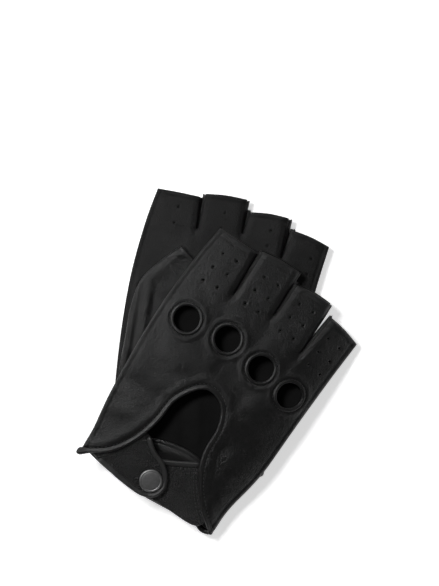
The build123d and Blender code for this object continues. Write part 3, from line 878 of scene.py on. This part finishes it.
def make_facing(hand):
    """Smooth facing inside the palm side of the wrist."""
    side = hand.side
    outline = chain(spline(FACING_TOP), straight((50, -46), (51.5, -63.5)), offset_line(hand.hem, -2.4)[3:-3],
                    straight((-43, -64), (-41, -52)))
    top_line = spline(FACING_TOP)

    def over(pts):
        d = distance(pts, top_line)
        lens = 1.3 * bump(d, 6.0, 4.5) + 0.35 * bump(d, 1.0, 0.8) - 0.3 * bump(d, 2.4, 0.5)
        return hand.palm(pts) + LEATHER + 0.75 + lens * np.clip(crown(pts[:, 0], pts[:, 1]) * 2, 0, 1)

    obj = shell(f"{side}_facing", side, outline, [], over, lambda pts: hand.palm(pts) + LEATHER + 0.05)
    dress(obj, "lining")
    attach(obj, f"{side}_glove")
    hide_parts(f"{side}_wrist_facing")


def make_tab(hand):
    """Pebbled tab that carries the stud, with its piped top edge and two lines of stitching."""
    side = hand.side
    upper_edge = spline(TAB_EDGE[1:])
    rest = spline([TAB_EDGE[-1], *TAB_REST, TAB_EDGE[0]])
    outline = chain(straight(TAB_EDGE[0], TAB_EDGE[1]), upper_edge, rest)

    beside = offset_line(hand.keyhole[len(hand.keyhole) // 2:], -2.4)
    beside = beside[(beside[:, 1] < -35) & (beside[:, 1] > -62)]

    def over(pts):
        d = distance(pts, upper_edge)
        puff = 0.35 * bump(d, 3.4, 1.3) - 0.35 * bump(d, 2.1, 0.45)
        upright = distance(pts, beside)
        return TAB_TOP + 0.35 + puff - 0.3 * bump(upright, 0, 0.5) + 0.18 * wander(pts, 9, 4.4)

    obj = shell(f"{side}_tab_leather", side, outline, [], over, lambda pts: over(pts) - 1.0)
    dress(obj, "grained")
    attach(obj, f"{side}_glove")
    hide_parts(f"{side}_under_tab")
    edge = spline(TAB_EDGE[1:4])
    path = np.column_stack([edge, np.full(len(edge), TAB_TOP + 0.8)])
    scale = ends(len(edge), 2, 2)
    pipe = outward(sweep(f"{side}_tab_piped_edge", side, path, piping(2.8, 1.0, 0.6), False, scale))
    dress(pipe, "edge")
    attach(pipe, f"{side}_glove")
    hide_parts(f"{side}_tab_piping")
    along_edge = offset_line(edge, -2.6)
    seam = np.column_stack([along_edge, over(along_edge) + 0.05])
    lines = [seam]
    for shift in (-0.9, 0.9):
        plan = offset_line(beside, shift)
        lines.append(np.column_stack([plan, over(plan) + 0.05]))
    for number, line in enumerate(lines):
        sewn = stitches(f"{side}_tab_stitches_{number}", side, line, 2.4, 1.7, 0.2, 0.03)
        dress(sewn, "thread")
        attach(sewn, f"{side}_glove")


def make_strap(hand):
    """The closing strap with its sewn root, one piece of leather."""
    side = hand.side
    edge = spline(STRAP_EDGE)
    outline = chain(edge, straight(STRAP_EDGE[-1], STRAP_ROOT[0]), spline(STRAP_ROOT),
                    straight(STRAP_ROOT[-1], STRAP_EDGE[0]))

    def root(pts):
        """0 on the free strap, 1 where it is sewn under the lobe."""
        return smooth((-16 - pts[:, 0]) / 14)

    def over(pts):
        d = distance(pts, edge)
        z = STRAP_TOP + 0.1 - 0.5 * (1 - round_over(d / 1.3)) - 0.7 * bump(d, 1.95, 0.4) + 0.45 * bump(d, 3.0, 0.6)
        cap = np.hypot(pts[:, 0] - SNAP[0], pts[:, 1] - SNAP[1])
        puckers = 0.18 * np.sin(pts[:, 0] * 0.5 + pts[:, 1] * 0.35) * bump(cap, 10, 4)
        return z - 0.3 * bump(cap, 7.8, 1.6) + puckers + 0.2 * wander(pts, 8, 6.1) - 0.9 * root(pts)

    start, end = [tuple(to_world(side, [(x, y, BEND_HEIGHT)])[0]) for x, y in STRAP_BEND]
    obj = shell(f"{side}_strap_leather", side, outline, [], over,
                lambda pts: np.minimum(over(pts) - 0.9, LINING_TOP))
    dress(obj, "grained")
    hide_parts(f"{side}_strap", f"{side}_strap_anchor")
    inner = chain(offset_line(edge, -0.5)[2:-2], [(-40.5, -64.0), (-38.5, -56.0), (-27.0, -36.5)])
    under = shell(f"{side}_strap_underside", side, inner, [], lambda pts: LINING_TOP - 0.05 - 0.4 * root(pts),
                  lambda pts: STRAP_BOTTOM - 0.4 * root(pts))
    dress(under, "lining")
    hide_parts(f"{side}_strap_lining")
    rim_line = offset_line(edge, -1.1)
    rim = outward(sweep(f"{side}_strap_bound_edge", side, np.column_stack([rim_line, over(rim_line) + 0.05]),
                        piping(2.6, 0.8, 0.6), False, ends(len(rim_line), 2, 2)))
    dress(rim, "edge")
    seam_line = offset_line(edge, -2.05)[1:-1]
    seam = np.column_stack([seam_line, over(seam_line) + 0.3])
    sewn = stitches(f"{side}_strap_stitches", side, seam, 2.5, 1.75, 0.24, 0.05)
    dress(sewn, "thread")
    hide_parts(f"{side}_strap_stitching")
    for piece in (obj, under, rim, sewn):
        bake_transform(piece)


def make_cap(hand):
    """Snap cap: a low disc with a rolled rim, a fine groove inside it and a barely domed face."""
    side = hand.side
    profile = [(6.1, 3.7), (6.9, 3.8), (7.25, 4.1), (7.3, 4.55), (7.2, 4.95), (6.95, 5.25), (6.6, 5.4),
               (6.25, 5.42), (6.0, 5.36), (5.86, 5.26), (5.72, 5.25), (5.55, 5.33), (5.2, 5.37), (3.5, 5.43),
               (1.8, 5.46), (0.5, 5.47)]
    obj = outward(lathe(f"{side}_cap", side, SNAP, profile, 96))
    dress(obj, "gunmetal")
    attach(obj, f"{side}_strap")
    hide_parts(f"{side}_snap_cap")


def thumb_base(side, y):
    """Height of the palm-side face of the folded thumb."""
    if side == "left":
        return np.full_like(y, -5.3)
    return -11.29 - 0.1457 * (y - 21)


def resample(line):
    t = np.linspace(0, 1, THUMB_ROWS)
    return np.column_stack([np.interp(t, np.linspace(0, 1, len(line)), line[:, k]) for k in (0, 1)])


def thumb_wall(hand, outer_edge, inner_edge, wall):
    """Rings of a flattened tube from the palm's edge to the open tip, wall inside its outer face."""
    angle = np.linspace(0, 2 * math.pi, THUMB_AROUND, endpoint=False)
    across = np.sign(np.cos(angle)) * np.abs(np.cos(angle)) ** 0.85
    height = np.sign(np.sin(angle)) * np.abs(np.sin(angle)) ** 0.62
    rings = []
    for t, a, b in zip(np.linspace(0, 1, THUMB_ROWS), resample(outer_edge), resample(inner_edge)):
        rise = smooth(t / 0.42)
        half = (b - a) / 2 * (1 - wall / max(4.0, np.linalg.norm(b - a) / 2))
        plan = (a + b) / 2 + across[:, None] * half
        base = thumb_base(hand.side, plan[:, 1])
        palm = hand.palm(plan)
        near_z = base * rise + (palm + 1.6) * (1 - rise)
        far_z = base - THUMB_DEPTH * (0.5 + 0.5 * rise) * (0.86 + 0.14 * math.sin(3 * t + 0.4))
        far_z = far_z * rise + (palm - 0.3) * (1 - rise)
        half_z = np.maximum((near_z - far_z) / 2 - wall, 0.35)
        rings.append(np.column_stack([plan, (near_z + far_z) / 2 + height * half_z]))
    points = np.vstack(rings)
    facing = np.tile(np.maximum(-height, 0), THUMB_ROWS)
    edge = distance(points, outer_edge)
    tip = distance(points, THUMB_TIP)
    folds = bump(edge, 3.4, 3.0) * (0.3 + 0.7 * smooth((points[:, 1] - 22) / 16)) + folded(points, THUMB_FOLDS)
    folds -= 0.4 * smooth((edge - 5) / 8) + 0.6 * smooth((edge - 11) / 12)
    folds += 0.3 * bump(tip, 1.2, 0.9) - 0.3 * bump(tip, 3.2, 0.7)
    folds += 0.4 * wander(points, 8, 8.8) + 0.15 * wander(points, 3.5, 2.2)
    points[:, 2] -= facing * folds
    return points


def make_thumb(hand):
    """Thumb stub: an open flattened tube folded over the palm, its root drawn out of the palm's edge."""
    side = hand.side
    outer_edge = spline([(-45.6, -44), (-49.6, -26), *THUMB_EDGE], 0.8)
    inner_edge = spline(THUMB_INNER, 0.8)
    verts = np.vstack([thumb_wall(hand, outer_edge, inner_edge, wall) for wall in (0.0, 0.9)])
    total = THUMB_ROWS * THUMB_AROUND
    last = total - THUMB_AROUND
    faces = []
    for k in range(THUMB_AROUND):
        q = (k + 1) % THUMB_AROUND
        for a in range(0, last, THUMB_AROUND):
            b = a + THUMB_AROUND
            faces.append((a + k, a + q, b + q, b + k))
            faces.append((total + a + k, total + b + k, total + b + q, total + a + q))
        faces.append((last + k, last + q, total + last + q, total + last + k))
        faces.append((q, k, total + k, total + q))
    obj = outward(make_object(f"{side}_thumb_leather", verts, faces, side))
    dress(obj, "smooth")
    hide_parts(f"{side}_thumb_stub", f"{side}_thumb_gusset")
    depth = float(thumb_base(side, np.array([THUMB_HOLE[1]]))[0])
    start, end = [tuple(to_world(side, [(x, y, depth)])[0]) for x, y in THUMB_BEND]
    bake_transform(obj)


# ---------------------------------------------------------------- the whole pair

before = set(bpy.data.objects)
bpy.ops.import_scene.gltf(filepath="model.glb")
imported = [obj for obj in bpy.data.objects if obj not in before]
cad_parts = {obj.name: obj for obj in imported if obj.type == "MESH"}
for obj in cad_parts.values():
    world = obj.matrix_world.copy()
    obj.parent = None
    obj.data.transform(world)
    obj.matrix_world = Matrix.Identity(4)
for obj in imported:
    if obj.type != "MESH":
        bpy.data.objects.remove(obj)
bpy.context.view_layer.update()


for side_name in ("left", "right"):
    the_hand = Hand(side_name)
    make_back(the_hand)
    make_palm(the_hand)
    for number in range(3):
        make_fourchette(the_hand, number)
    for number in range(4):
        make_knuckle_rim(the_hand, number)
    make_keyhole_binding(the_hand)
    make_hem(the_hand)
    make_facing(the_hand)
    make_tab(the_hand)
    make_strap(the_hand)
    make_cap(the_hand)
    make_thumb(the_hand)
    for node_name in ("snap_socket", "snap_stud", "snap_post"):
        metal_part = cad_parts[f"{side_name}_{node_name}"]
        metal_part.data.materials.clear()
        metal_part.data.materials.append(MATERIALS["nickel"])


# ---------------------------------------------------------------- floor, light and camera

FLOOR_REACH = 3.0
floor_mesh = bpy.data.meshes.new("floor")
corners = [(x * FLOOR_REACH, y * FLOOR_REACH, 0) for x, y in ((-1, -1), (1, -1), (1, 1), (-1, 1))]
floor_mesh.from_pydata(corners, [], [(0, 1, 2, 3)])
floor = bpy.data.objects.new("floor", floor_mesh)
bpy.context.scene.collection.objects.link(floor)
paper, paper_tree, paper_shader = nodes_of("paper")
paper_grain = add(paper_tree, "ShaderNodeTexNoise", {"Scale": 30.0, "Detail": 3.0})
paper_colour = ramp(paper_tree, paper_grain.outputs["Fac"], (0.0, 0.9), (1.0, 0.93))
paper_tree.links.new(paper_colour, paper_shader.inputs["Base Color"])
paper_shader.inputs["Roughness"].default_value = 0.9
paper_shader.inputs["Specular IOR Level"].default_value = 0.1
paper_shader.inputs["Emission Color"].default_value = (1, 1, 1, 1)
paper_shader.inputs["Emission Strength"].default_value = 0.6
floor_mesh.materials.append(paper)


def area_light(name, place, size, power):
    data = bpy.data.lights.new(name, "AREA")
    data.shape = "DISK"
    data.size = size
    data.energy = power
    lamp = bpy.data.objects.new(name, data)
    lamp.location = place
    lamp.rotation_euler = (LIT_POINT - Vector(place)).to_track_quat("-Z", "Y").to_euler()
    bpy.context.scene.collection.objects.link(lamp)


LIT_POINT = Vector((0, 0.03, 0))
area_light("key", (-0.60, 0.50, 1.20), 0.40, 14)
area_light("rim", (-1.1, 0.35, 0.40), 0.4, 1.5)
area_light("back", (0.4, 1.4, 0.6), 0.8, 1.4)
area_light("side", (1.4, -0.4, 0.3), 0.6, 0.5)
area_light("wrist", (-0.5, -1.4, 0.3), 0.6, 0.4)

world = bpy.data.worlds.new("studio")
world.use_nodes = True
world.node_tree.nodes["Background"].inputs["Color"].default_value = (1, 1, 1, 1)
world.node_tree.nodes["Background"].inputs["Strength"].default_value = 0.065
bpy.context.scene.world = world
bpy.context.scene.view_settings.view_transform = "Standard"

VIEW_CENTRE = (-0.0008, 0.0430)
VIEW_HEIGHT = 0.366
CAMERA_HEIGHT = 2.4
MIDDLE_HEIGHT = 0.016
camera_data = bpy.data.cameras.new("camera")
camera_data.sensor_fit = "VERTICAL"
camera_data.angle = 2 * math.atan(VIEW_HEIGHT / 2 / (CAMERA_HEIGHT - MIDDLE_HEIGHT))
camera_data.clip_start = 0.05
camera = bpy.data.objects.new("camera", camera_data)
camera.location = (*VIEW_CENTRE, CAMERA_HEIGHT)
bpy.context.scene.collection.objects.link(camera)
bpy.context.scene.camera = camera

bpy.context.view_layer.update()
